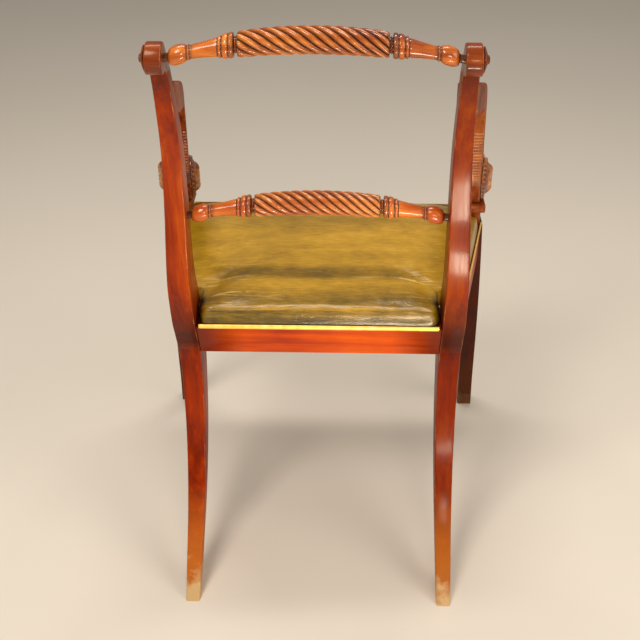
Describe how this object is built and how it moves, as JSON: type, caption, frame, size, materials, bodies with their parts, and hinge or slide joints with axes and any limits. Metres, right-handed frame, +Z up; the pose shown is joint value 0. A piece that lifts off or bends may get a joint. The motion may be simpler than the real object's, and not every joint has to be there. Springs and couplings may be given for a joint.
{
  "type": "open armchair",
  "caption": "Regency style mahogany open armchair: rope-twist back rails between scrolled stiles, sabre legs, falling arms with carved rosettes, stuffed leather seat with brass edging.",
  "frame": {"origin": "on the floor under the middle of the chair's bounding box", "axes": "+Z up from the floor; -Y the way the sitter faces, +Y towards the back; +X the sitter's left"},
  "size_m": [0.545, 0.5322, 0.8508],
  "materials": {
    "mahogany": "french polished, worn and waxed",
    "inner_wood": "unpolished secondary timber",
    "leather": "olive hide, polished by wear and creased",
    "brass": "polished, slightly tarnished",
    "iron": "dull blackened screw iron",
    "horsehair": "matted curled hair",
    "linen": "coarse undyed weave"
  },
  "bodies": {
    "root": {"arm_left": "mahogany", "arm_neck_peg_left": "inner_wood", "arm_neck_peg_right": "inner_wood", "arm_right": "mahogany", "arm_root_peg_left": "inner_wood", "arm_root_peg_right": "inner_wood", "brass_strip_front": "brass", "brass_strip_left": "brass", "brass_strip_rear": "brass", "brass_strip_right": "brass", "corner_block_front_left": "inner_wood", "corner_block_front_right": "inner_wood", "corner_block_rear_left": "inner_wood", "corner_block_rear_right": "inner_wood", "corner_screw_front_left": "iron", "corner_screw_front_right": "iron", "corner_screw_rear_left": "iron", "corner_screw_rear_right": "iron", "crest_rail": "mahogany", "front_leg_left": "mahogany", "front_leg_right": "mahogany", "front_seat_rail": "mahogany", "hessian_cloth": "linen", "horsehair_stuffing": "horsehair", "inner_rosette_left": "mahogany", "inner_rosette_right": "mahogany", "leather_cover": "leather", "lower_back_rail": "mahogany", "outer_rosette_left": "mahogany", "outer_rosette_right": "mahogany", "rear_leg_left": "mahogany", "rear_leg_right": "mahogany", "rear_leg_tongue_left": "inner_wood", "rear_leg_tongue_right": "inner_wood", "rear_seat_rail": "mahogany", "scroll_button_left": "mahogany", "scroll_button_right": "mahogany", "side_seat_rail_left": "mahogany", "side_seat_rail_right": "mahogany", "stile_left": "mahogany", "stile_right": "mahogany", "webbing_crosswise_1": "linen", "webbing_crosswise_2": "linen", "webbing_crosswise_3": "linen", "webbing_lengthwise_1": "linen", "webbing_lengthwise_2": "linen", "webbing_lengthwise_3": "linen", "webbing_lengthwise_4": "linen"}
  },
  "joints": []
}
